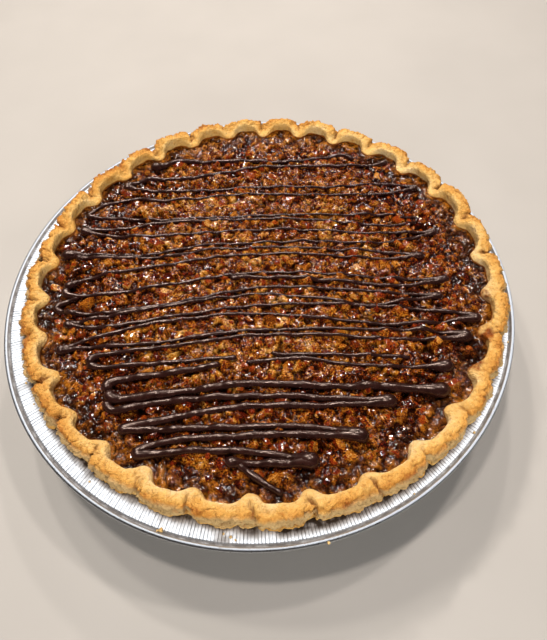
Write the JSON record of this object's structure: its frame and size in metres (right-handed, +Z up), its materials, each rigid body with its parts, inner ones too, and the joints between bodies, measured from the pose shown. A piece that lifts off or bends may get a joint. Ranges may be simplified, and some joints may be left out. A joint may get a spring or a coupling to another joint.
{
  "type": "bourbon pecan pie",
  "caption": "Whole round pecan pie in its own crimped foil tin, with a finger-fluted pastry rim, a chopped pecan filling and a zigzag of dark chocolate drizzle.",
  "frame": {"origin": "middle of the foil tin's flat base, on the surface that the pie stands on", "axes": "+Z up; +X to the right and +Y away from a viewer who sees the drizzle run from left to right"},
  "size_m": [0.2448, 0.2448, 0.0435],
  "materials": {
    "foil": "bright rolled foil, crimped",
    "pastry": "dry baked shortcrust pastry, sandy and matte",
    "filling": "glossy baked caramel custard",
    "pecan": "toasted chopped pecan glazed with syrup",
    "chocolate": "set dark chocolate, satin gloss"
  },
  "bodies": {
    "root": {"foil_tin": "foil", "pastry_case": "pastry", "pecan_filling": "filling"}
  },
  "joints": []
}
